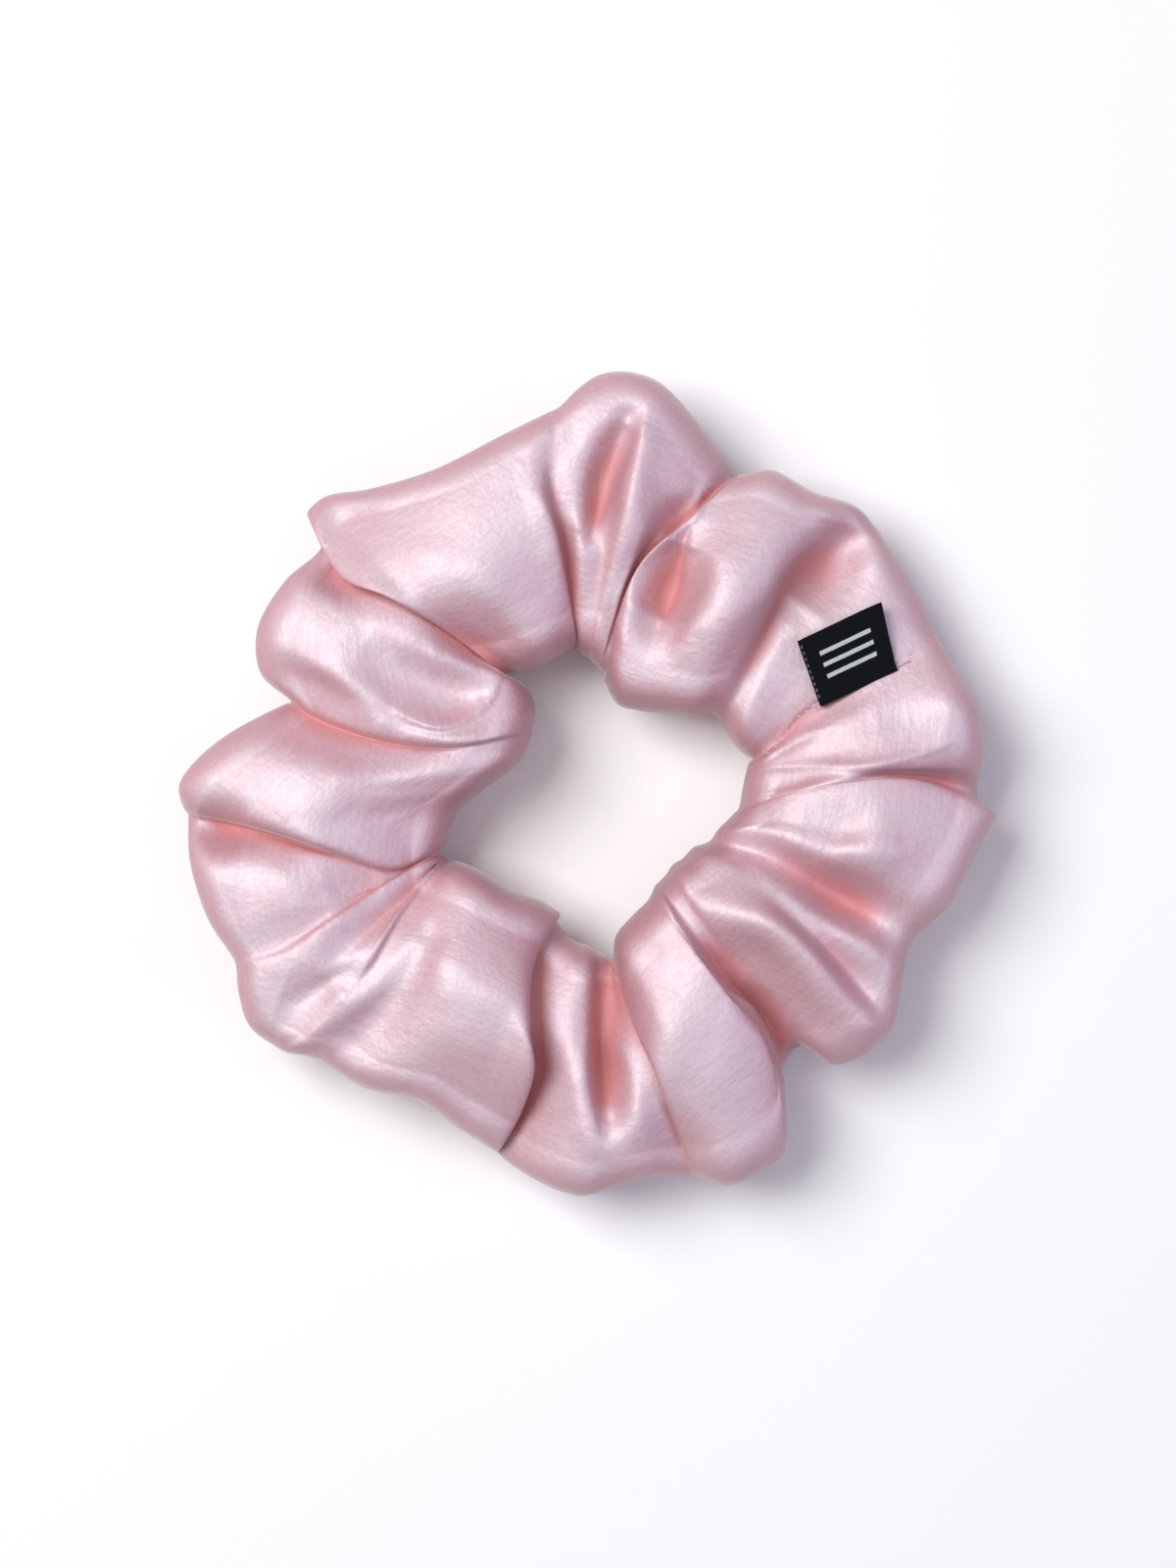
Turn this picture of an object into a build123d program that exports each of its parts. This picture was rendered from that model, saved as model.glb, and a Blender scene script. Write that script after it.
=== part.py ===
"""A large satin scrunchie that lies flat, with a woven label caught in its closing seam.

The gathered cover is a fabric tube round a flat elastic. It is drawn as six stretches that meet at
creases, so that the ring can be pulled open. The ring lies on the plane z = 0, with the origin under
the middle of its outline. +Z points up out of the hole, and +X to the side that carries the label.
"""

import os
from math import copysign, cos, radians, sin

from build123d import *

os.makedirs("parts", exist_ok=True)

# Driving dimensions, in millimetres and degrees.

# The gathered cover
hole_centre = (1.0, -3.8)  # of the open middle, measured from the middle of the outline
hole_radius = 20.0  # where a typical gather starts
gather_reach = 35.0  # from the hole to the outer edge of a typical gather
crown_height = 26.0  # of a puff at its fullest
crease_height = 16.0  # of the tube where it is gathered in
fullness = 0.88  # below 1, a section is squarer than an ellipse
widest_share = 0.45  # of its height, where a section is widest
foot_angle = 50.0  # where a section's arch turns into its flat foot
foot_depth = 1.0  # under the plane that the ring lies on, and cut off there
arch_points = 13

# The elastic inside, a flat band that stands on edge
elastic_inset = 7.0  # from the hole to the band's inner face
elastic_thickness = 1.0
elastic_width = 6.5
elastic_middle_height = 8.5
lap_direction = 180.0
lap_angle = 26.0
channel_clearance = 0.3

# Threads
thread_radius = 0.25
thread_clearance = 0.05
tube_seam_inset = 14.0  # from the outer edge of a typical gather
tube_seam_height = 8.0
join_stitch_angle = 5.0  # between neighbouring stitches of the elastic's lap
join_stitch_rise = 2.0  # each side of the band's middle
join_stitch_proud = 0.15

# The closing seam and its label
seam_lift = 2.5  # how much shallower this sewn crease is than a gathered one
label_direction = 25.7  # of the middle of the label's caught edge, from the middle of the hole
label_inset = 21.3  # from the hole to the same place
label_turn = 25.3  # of the caught edge, from +X
label_tilt = 12.0  # how much the label rises from its caught edge
label_swing = 100.0  # how far it can be lifted from there
label_width = 12.4
label_length = 9.4
label_ply = 0.35
label_ply_gap = 0.1
label_hem_wall = 0.35
label_bed_clearance = 0.3
seam_thread_end = 4.0  # how far the closing thread runs on past each end of the label
edge_stitch_count = 8
edge_stitch_length = 0.9
edge_stitch_width = 0.3
edge_stitch_height = 0.2
edge_stitch_margin = 0.6  # from the label's ends to the first stitch

# Worked out from the dimensions above
outer_radius = hole_radius + gather_reach
elastic_radius = hole_radius + elastic_inset
tube_seam_radius = outer_radius - tube_seam_inset
label_thickness = 2 * label_ply + label_ply_gap
hem_bore = thread_radius + thread_clearance
hem_radius = hem_bore + label_hem_wall
seam_height = crease_height + seam_lift - hem_radius


def ring_point(direction, radius, height=0.0):
    """A point given by its direction and distance from the middle of the hole."""
    turn = radians(direction)
    return Vector(
        hole_centre[0] + radius * cos(turn), hole_centre[1] + radius * sin(turn), height
    )


def squared(value):
    """Pushes a sine or cosine outwards, which turns an ellipse into a fuller pillow shape."""
    return copysign(abs(value) ** fullness, value)


def section(inner, outer, height):
    """One upright section across the tube, from its inner to its outer end.

    It is an arch, closed by a straight foot just under the plane that the ring lies on.
    """
    across = outer - inner
    half_width = across.length / 2
    widest = height * widest_share
    above = height - widest
    below = (widest + foot_depth) / squared(sin(radians(foot_angle)))
    rim = []
    for step in range(arch_points):
        t = radians(-foot_angle + (180 + 2 * foot_angle) * step / (arch_points - 1))
        side_height = above if sin(t) > 0 else below
        rim.append((half_width * squared(cos(t)), widest + side_height * squared(sin(t))))
    plane = Plane(origin=(inner + outer) / 2, x_dir=across, z_dir=(across.Y, -across.X, 0))
    with BuildSketch(plane, mode=Mode.PRIVATE) as face:
        with BuildLine():
            Spline(*rim)
            Line(rim[-1], rim[0])
        make_face()
    return face.sketch


def crease(inner_direction, inner_shift, outer_direction, outer_shift, lift=0.0):
    """A section where the tube is gathered in, given by how its ends differ from a typical one's."""
    inner = ring_point(inner_direction, hole_radius + inner_shift)
    outer = ring_point(outer_direction, outer_radius + outer_shift)
    return section(inner, outer, crease_height + lift)


def crown(inner_direction, inner_shift, outer_direction, outer_shift, lift=0.0):
    """A section where a puff is full."""
    inner = ring_point(inner_direction, hole_radius + inner_shift)
    outer = ring_point(outer_direction, outer_radius + outer_shift)
    return section(inner, outer, crown_height + lift)


# The gathers, counterclockwise from the fold below the label. Each puff has the crease where it
# starts and its crowns, and it ends at the crease of the next puff.
gathers = {
    "cover_right": [
        [crease(345, -3.2, 338, -6, 4.5), crown(349, -2.6, 345, -3, -2.5), crown(353, -1.7, 355, 0, -2)],
        [crease(359, 0.3, 1, 0.8, 4), crown(9, 1.8, 8, 2.2, -4)],
        [crease(18, 3, 28, 0, seam_lift), crown(27, 2, 38, 1, -7)],
    ],
    "cover_top_right": [
        [
            crease(36, 2, 46, 1.7, 3),
            crown(42, 1, 51, 2, -6),
            crown(50, -2.5, 57, 0, -0.8),
            crown(58, -4, 62, -1, -1.5),
        ],
        [crease(68, -4.6, 65.5, -2.5, 2.5), crown(77, -4.2, 69, -3, -8)],
        [
            crease(84, -1.5, 70.5, -2.5, 3),
            crown(88, 0, 77, 4, -3),
            crown(91, 1, 84, 7, -2.5),
            crown(94, 2.2, 90, 6.5, -3.5),
        ],
    ],
    "cover_top_left": [
        [
            crease(97, 3.2, 96, 2.5, 4),
            crown(101, 2.4, 103, 0.2, -1.5),
            crown(106, 1.6, 115, -1.5, -1.2),
            crown(112, 1.8, 124, 1.2, -1.8),
            crown(117.5, 2.4, 130.5, 3.6, -3.8),
        ],
        [
            crease(120.5, 2.5, 135, 0, 3.8),
            crown(124, -0.5, 144, 0.5, -4),
            crown(129, -3.5, 152.5, -1.2, -4),
        ],
    ],
    "cover_left": [
        [
            crease(139, -6, 160, -8.5, 3.7),
            crown(152, -5.5, 168, -2.5, -3),
            crown(169, -3.6, 173, 2, -2),
            crown(181, -0.8, 177, 3.8, -2.4),
        ],
        [
            crease(189, 1.8, 181, 3.5, 4),
            crown(192, 2.4, 188.5, 2.8, -3.8),
            crown(195, 2.6, 196, 1.7, -3.6),
        ],
    ],
    "cover_bottom_left": [
        [
            crease(198, 2.5, 203, 0.6, 5),
            crown(200.5, 2, 210, 2, -4.6),
            crown(203.5, 1, 218, 0.4, -3.4),
            crown(209, -1.8, 229, -4, -1),
            crown(222, -4, 239, -6.5, -0.6),
            crown(239, -5, 247.5, -5.6, -1.5),
        ],
        [crease(253.5, -3, 254, -4.3, 1), crown(262, -0.8, 262.5, -2, -4.5), crown(267, -0.3, 268, -0.7, -4.7)],
        [crease(271.5, 0.4, 272.5, -1.5, 1.5), crown(274.5, 1, 279, -1.8, -5)],
    ],
    "cover_bottom_right": [
        [
            crease(277, 1, 285, -1.5, 2.5),
            crown(281.5, -2.2, 289.5, 1.4, -1.3),
            crown(290, -4.4, 295, 1.4, -1.3),
            crown(300, -5.6, 300, -1, -2.5),
        ],
        [
            crease(308, -5.8, 308, -10, 1),
            crown(322, -5.2, 314, -5.3, -4),
            crown(332, -5.5, 320, -2.9, -1),
            crown(340, -4.6, 328, -3.4, -4),
        ],
    ],
}

ring_plane = Plane(origin=(*hole_centre, 0))

# The elastic: one strip bent into a ring, with its two ends lapped and sewn together.
band_base = elastic_middle_height - elastic_width / 2
join_stitches = [
    Location(
        Plane(
            origin=ring_point(
                lap_direction + side * join_stitch_angle,
                elastic_radius + elastic_thickness,
                elastic_middle_height + rise * join_stitch_rise,
            ),
            z_dir=ring_point(lap_direction + side * join_stitch_angle, 1) - ring_point(0, 0),
        )
    )
    for side, rise in ((-2, -1), (-1, 1), (0, -1), (1, 1), (2, -1))
]

with BuildPart() as elastic_band:
    with BuildSketch(ring_plane.offset(band_base)):
        Circle(elastic_radius + elastic_thickness)
        Circle(elastic_radius, mode=Mode.SUBTRACT)
    extrude(amount=elastic_width)
    lap_start = ring_plane.rotated((0, 0, lap_direction - lap_angle / 2))
    with BuildSketch(Plane(lap_start.origin, x_dir=lap_start.x_dir, z_dir=-lap_start.y_dir)):
        with Locations((elastic_radius + elastic_thickness, band_base)):
            Rectangle(elastic_thickness, elastic_width, align=Align.MIN)
    revolve(axis=Axis(ring_plane.origin, (0, 0, 1)), revolution_arc=lap_angle)
    with Locations(*join_stitches):
        Cylinder(hem_bore, 3 * elastic_thickness, mode=Mode.SUBTRACT)
elastic_band.part.label = "elastic_band"
export_step(elastic_band.part, "parts/elastic_band.step")

with BuildPart() as elastic_join_thread:
    with Locations(*join_stitches):
        Cylinder(thread_radius, 2 * (elastic_thickness + join_stitch_proud))
elastic_join_thread.part.label = "elastic_join_thread"
export_step(elastic_join_thread.part, "parts/elastic_join_thread.step")

# The thread of the tube's long seam, inside its outer edge.
with BuildPart() as tube_seam_thread:
    with Locations((*hole_centre, tube_seam_height)):
        Torus(tube_seam_radius, thread_radius)
tube_seam_thread.part.label = "tube_seam_thread"
export_step(tube_seam_thread.part, "parts/tube_seam_thread.step")

# The room inside the tube: a channel for the elastic with its lap, and one for the long seam's thread.
with BuildPart() as tube_inside:
    with BuildSketch(ring_plane.offset(band_base - channel_clearance)):
        Circle(elastic_radius + 2 * elastic_thickness + join_stitch_proud + channel_clearance)
        Circle(elastic_radius - join_stitch_proud - channel_clearance, mode=Mode.SUBTRACT)
    extrude(amount=elastic_width + 2 * channel_clearance)
    with BuildSketch(ring_plane.offset(tube_seam_height - hem_bore)):
        Circle(tube_seam_radius + hem_bore)
        Circle(tube_seam_radius - hem_bore, mode=Mode.SUBTRACT)
    extrude(amount=2 * hem_bore)

# The label's own plane: its caught edge lies on the plane's X axis, and it rises along the Y axis.
turn, tilt = radians(label_turn), radians(label_tilt)
label_plane = Plane(
    origin=ring_point(label_direction, hole_radius + label_inset, seam_height),
    x_dir=(cos(turn), sin(turn), 0),
    z_dir=(sin(turn) * sin(tilt), -cos(turn) * sin(tilt), cos(tilt)),
)
seam_line = Plane(origin=label_plane.origin, z_dir=label_plane.x_dir)
lifted_plane = Plane(
    origin=label_plane.origin,
    x_dir=label_plane.x_dir,
    z_dir=label_plane.z_dir.rotate(Axis((0, 0, 0), label_plane.x_dir), label_swing),
)
seam_thread_length = label_width + 2 * seam_thread_end

# The closing seam's thread, which the label's hem turns on.
with BuildPart() as closing_seam_thread:
    with Locations(seam_line.location):
        Cylinder(thread_radius, seam_thread_length)
closing_seam_thread.part.label = "closing_seam_thread"
export_step(closing_seam_thread.part, "parts/closing_seam_thread.step")

# The label: a woven ribbon folded over at its far edge, with both plies caught round the thread.
with BuildPart() as woven_label:
    with BuildSketch(label_plane.offset(-label_thickness / 2)):
        Rectangle(label_width, label_length, align=(Align.CENTER, Align.MIN))
    extrude(amount=label_thickness)
    far_edges = woven_label.edges().filter_by(Axis(seam_line.origin, seam_line.z_dir))
    far_edges = far_edges.sort_by(Axis(label_plane.origin, label_plane.y_dir))[-2:]
    fillet(far_edges, label_thickness / 2 - label_ply / 4)
    with BuildSketch(label_plane.offset(-label_ply_gap / 2)):
        Rectangle(label_width, label_length - label_ply, align=(Align.CENTER, Align.MIN))
    extrude(amount=label_ply_gap, mode=Mode.SUBTRACT)
    with Locations(seam_line.location):
        Cylinder(hem_radius, label_width)
        Cylinder(hem_bore, label_width, mode=Mode.SUBTRACT)
woven_label.part.label = "woven_label"
export_step(woven_label.part, "parts/woven_label.step")

# The small stitches that hold the label's plies together down its left edge.
stitch_span = label_length - hem_radius - 2 * edge_stitch_margin
with BuildPart() as label_stitches:
    with BuildSketch(label_plane.offset(label_thickness / 2)):
        with Locations(
            (
                (edge_stitch_length - label_width) / 2,
                hem_radius + edge_stitch_margin + stitch_span / 2,
            )
        ):
            with GridLocations(0, stitch_span / (edge_stitch_count - 1), 1, edge_stitch_count):
                Rectangle(edge_stitch_length, edge_stitch_width)
    extrude(amount=edge_stitch_height)
label_stitches.part.label = "label_stitches"
export_step(label_stitches.part, "parts/label_stitches.step")

# The room for the label: a flat bed under it, the way that it swings up and over, a groove round its
# hem, and bores for the thread's ends.
bed_depth = label_thickness / 2 + label_bed_clearance
room_width = label_width + 2 * label_bed_clearance
room_length = label_length + label_bed_clearance
with BuildPart() as label_room:
    with BuildSketch(label_plane.offset(-bed_depth)):
        Rectangle(room_width, room_length, align=(Align.CENTER, Align.MIN))
    extrude(amount=crown_height)
    with BuildSketch(lifted_plane.offset(bed_depth)):
        Rectangle(room_width, room_length, align=(Align.CENTER, Align.MIN))
    extrude(amount=-room_length)
    with Locations(seam_line.location):
        Cylinder(hem_radius + label_bed_clearance, room_width)
        Cylinder(hem_bore, seam_thread_length)

# The cover, one stretch at a time.
stretches = list(gathers)
for place, name in enumerate(stretches):
    puffs = gathers[name]
    next_crease = gathers[stretches[(place + 1) % len(stretches)]][0][0]
    ends = [puff[0] for puff in puffs[1:]] + [next_crease]
    with BuildPart() as cover:
        for puff, end in zip(puffs, ends):
            loft([*puff, end])
        split(bisect_by=Plane.XY, keep=Keep.TOP)
        add(tube_inside.part, mode=Mode.SUBTRACT)
        add(label_room.part, mode=Mode.SUBTRACT)
    cover.part.label = name
    export_step(cover.part, f"parts/{name}.step")
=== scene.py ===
"""A large satin scrunchie: the look of its gathered cover, its label and its threads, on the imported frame."""

import math

import bmesh
import bpy
import numpy as np
from mathutils import Matrix, Vector, noise


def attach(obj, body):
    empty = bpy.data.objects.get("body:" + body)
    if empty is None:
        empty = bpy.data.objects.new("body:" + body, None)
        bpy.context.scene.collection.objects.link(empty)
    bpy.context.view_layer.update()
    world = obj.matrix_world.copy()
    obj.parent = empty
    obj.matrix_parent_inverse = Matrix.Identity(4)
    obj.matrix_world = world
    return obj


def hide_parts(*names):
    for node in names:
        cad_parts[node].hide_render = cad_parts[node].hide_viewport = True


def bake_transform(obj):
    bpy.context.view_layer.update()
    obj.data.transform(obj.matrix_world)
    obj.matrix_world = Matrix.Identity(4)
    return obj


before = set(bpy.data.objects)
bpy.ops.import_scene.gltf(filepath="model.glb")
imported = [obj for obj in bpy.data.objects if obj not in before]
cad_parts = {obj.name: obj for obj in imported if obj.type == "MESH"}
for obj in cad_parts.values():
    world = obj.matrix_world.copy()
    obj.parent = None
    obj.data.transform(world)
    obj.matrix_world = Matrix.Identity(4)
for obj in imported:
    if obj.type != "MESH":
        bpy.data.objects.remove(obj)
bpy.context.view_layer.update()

# ---------------------------------------------------------------------------------------------------
# The elastic: a flat braided band on edge, bent into a ring. It stands inside the tube, near the hole,
# and its ends are lapped on the side away from the label.
# ---------------------------------------------------------------------------------------------------

mm = 0.001  # the pieces are laid out in millimetres
ring_middle = (1.0, -3.8)
band_width = 6.5
band_thickness = 0.9
band_height = 8.5
band_radius = 27.5
band_start = 167.0  # degrees
band_lap = 26.0  # degrees
band_sweep = 360 + band_lap
lap_step = 1.03  # how far out the last end lies over the first
lap_climb = 30  # degrees, in which it gets there before the lap
braid_bulge = 0.04
braid_waver = 0.12


def round_ring(direction, radius, height):
    """A point in space, from its direction and distance from the middle of the hole."""
    turn = math.radians(direction)
    x, y = ring_middle
    return Vector((x + radius * math.cos(turn), y + radius * math.sin(turn), height)) * mm


class Socket:
    """A shader socket that arithmetic can be done on."""

    def __init__(self, tree, link):
        self.tree, self.link = tree, link

    def maths(self, operation, *others, swap=False):
        values = [self, *others][:: -1 if swap else 1]
        return node(self.tree, "ShaderNodeMath", {"operation": operation}, *values)

    def __add__(self, other):
        return self.maths("ADD", other)

    def __sub__(self, other):
        return self.maths("SUBTRACT", other)

    def __rsub__(self, other):
        return self.maths("SUBTRACT", other, swap=True)

    def __mul__(self, other):
        return self.maths("MULTIPLY", other)

    __radd__, __rmul__ = __add__, __mul__


def node(tree, kind, settings, *values, output=0, **named):
    """One node: its settings first, then what its sockets hold or are linked to."""
    made = tree.nodes.new(kind)
    for name, setting in settings.items():
        if name == "stops":
            ramp = made.color_ramp
            while len(ramp.elements) < len(setting):
                ramp.elements.new(0.5)
            for element, (position, colour) in zip(ramp.elements, setting):
                element.position, element.color = position, colour
        else:
            setattr(made, name, setting)
    sockets = list(zip(made.inputs, values))
    for name, value in named.items():
        live = [s for s in made.inputs if s.enabled and s.name == name.replace("_", " ")]
        sockets.append((live[0], value))
    for socket, value in sockets:
        if isinstance(value, Socket):
            tree.links.new(value.link, socket)
        elif value is not None:
            socket.default_value = value
    return Socket(tree, made.outputs[output]) if made.outputs else made


def material(name):
    """A material with only its output, and its node tree."""
    made = bpy.data.materials.new(name)
    made.use_nodes = True
    made.node_tree.nodes.clear()
    return made, made.node_tree


def meshed(name, shape):
    """A smooth mesh made from a bmesh, which is used up."""
    for face in shape.faces:
        face.smooth = True
    mesh = bpy.data.meshes.new(name)
    shape.to_mesh(mesh)
    shape.free()
    return mesh


def in_scene(name, data):
    """A new object in the scene that holds a mesh, a curve, a light or a camera."""
    made = bpy.data.objects.new(name, data)
    bpy.context.scene.collection.objects.link(made)
    return made


shape = bmesh.new()
bmesh.ops.create_grid(shape, x_segments=420, y_segments=12, size=0.5)
along_band = shape.verts.layers.float.new("along_band")
across_band = shape.verts.layers.float.new("across_band")
for vert in shape.verts:
    run, rise = vert.co.x + 0.5, vert.co.y
    climb = min(max((run * band_sweep - (360 - lap_climb)) / lap_climb, 0), 1)
    radius = band_radius + lap_step * climb * climb * (3 - 2 * climb) + braid_bulge * math.sin(run * 900)
    height = band_height + rise * (band_width + braid_waver * math.sin(run * 1200))
    vert[along_band] = run * band_sweep / 180 * math.pi * band_radius
    vert[across_band] = rise * band_width
    vert.co = round_ring(band_start + run * band_sweep, radius, height)
bmesh.ops.recalc_face_normals(shape, faces=shape.faces)
bmesh.ops.solidify(shape, geom=shape.faces[:], thickness=band_thickness * mm)
bmesh.ops.recalc_face_normals(shape, faces=shape.faces)
band = in_scene("elastic_ring", meshed("elastic_ring", shape))

strand_turn = 0.65  # across the band, between two turns of a strand
strand_rate = 5.2
braid, tree = material("braided_elastic")
along = node(tree, "ShaderNodeAttribute", {"attribute_name": "along_band"}, output=2)
across = node(tree, "ShaderNodeAttribute", {"attribute_name": "across_band"}, output=2)
strand = ((along + across.maths("PINGPONG", strand_turn)) * strand_rate).maths("SINE")
node(
    tree,
    "ShaderNodeOutputMaterial",
    {},
    node(
        tree,
        "ShaderNodeBsdfPrincipled",
        {},
        Base_Color=node(
            tree,
            "ShaderNodeMix",
            {"data_type": "RGBA"},
            Factor=0.5 + 0.5 * strand,
            A=(0.62, 0.60, 0.57, 1),
            B=(0.86, 0.85, 0.82, 1),
            output=2,
        ),
        Roughness=0.7 - 0.15 * strand,
        Normal=node(tree, "ShaderNodeBump", {}, Strength=0.6, Distance=0.0002, Height=strand),
    ),
)
band.data.materials.append(braid)
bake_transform(band)
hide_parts("elastic_band")

# ---------------------------------------------------------------------------------------------------
# The threads inside: one runs in and out through the elastic's lap and holds its ends together, and
# one closes the tube's long seam. Both are plain spun polyester.
# ---------------------------------------------------------------------------------------------------


def sewn(name, runs, radius, finish):
    """Thread laid along each run of points, as one mesh."""
    thread = bpy.data.curves.new(name, "CURVE")
    thread.dimensions = "3D"
    thread.bevel_depth, thread.bevel_resolution = radius * mm, 2
    thread.resolution_u = 4
    thread.use_fill_caps = True
    for run in runs:
        spline = thread.splines.new("NURBS")
        spline.points.add(len(run) - 1)
        for point, stop in zip(spline.points, run):
            point.co = (*stop, 1)
        spline.order_u = 3
        spline.use_endpoint_u = True
    laid = in_scene(name, thread)
    mesh = bpy.data.meshes.new_from_object(laid.evaluated_get(bpy.context.evaluated_depsgraph_get()))
    bpy.data.objects.remove(laid)
    mesh.name = name
    mesh.materials.clear()
    mesh.materials.append(finish)
    mesh.polygons.foreach_set("use_smooth", [True] * len(mesh.polygons))
    return in_scene(name, mesh)


def spun_thread(name, dark, light):
    """Thread with a fine twist and a little fuzz."""
    made, tree = material(name)
    place = node(tree, "ShaderNodeTexCoord", {}, output=3)
    fuzz = node(tree, "ShaderNodeTexNoise", {}, Vector=place, Scale=9000.0, Detail=3.0)
    shade = node(
        tree, "ShaderNodeMix", {"data_type": "RGBA"}, Factor=fuzz, A=dark, B=light, output=2
    )
    raised = node(tree, "ShaderNodeBump", {}, Strength=0.5, Distance=0.0001, Height=fuzz)
    shader = node(
        tree, "ShaderNodeBsdfPrincipled", {}, Base_Color=shade, Roughness=0.65, Normal=raised
    )
    node(tree, "ShaderNodeOutputMaterial", {}, shader)
    return made


stitch_start = 170  # degrees
stitch_step = 5  # degrees
stitch_rise = 2
outside_lap, inside_lap = 29.15, 26.85  # from the middle of the hole
lap_run = []
for number in range(5):
    odd = number % 2
    direction = stitch_start + stitch_step * number
    height = band_height + stitch_rise * (odd * 2 - 1)
    for radius in (inside_lap, outside_lap) if odd else (outside_lap, inside_lap):
        lap_run.append(round_ring(direction, radius, height))
white_thread = spun_thread("white_thread", (0.6, 0.6, 0.58, 1), (0.85, 0.85, 0.83, 1))
lap_thread = sewn("lap_stitching", [lap_run], 0.2, white_thread)
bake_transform(lap_thread)
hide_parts("elastic_join_thread")

seam_radius = 41
seam_height = 8
seam_sway = 0.35
pink_thread = spun_thread("pink_thread", (0.62, 0.40, 0.44, 1), (0.84, 0.66, 0.70, 1))
seam_run = [round_ring(3 * n, seam_radius, seam_height + seam_sway * (-1) ** n) for n in range(121)]
long_seam = sewn("long_seam_stitching", [seam_run], 0.22, pink_thread)
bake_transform(long_seam)
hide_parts("tube_seam_thread")

# ---------------------------------------------------------------------------------------------------
# The cover: one rectangle of silk satin sewn into a tube, turned, and gathered round the elastic. Its
# folds are laid here one line of cloth after another, counterclockwise from the top of the ring. Each
# line runs over the top of the tube, from the hole to the outer edge.
# ---------------------------------------------------------------------------------------------------

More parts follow.
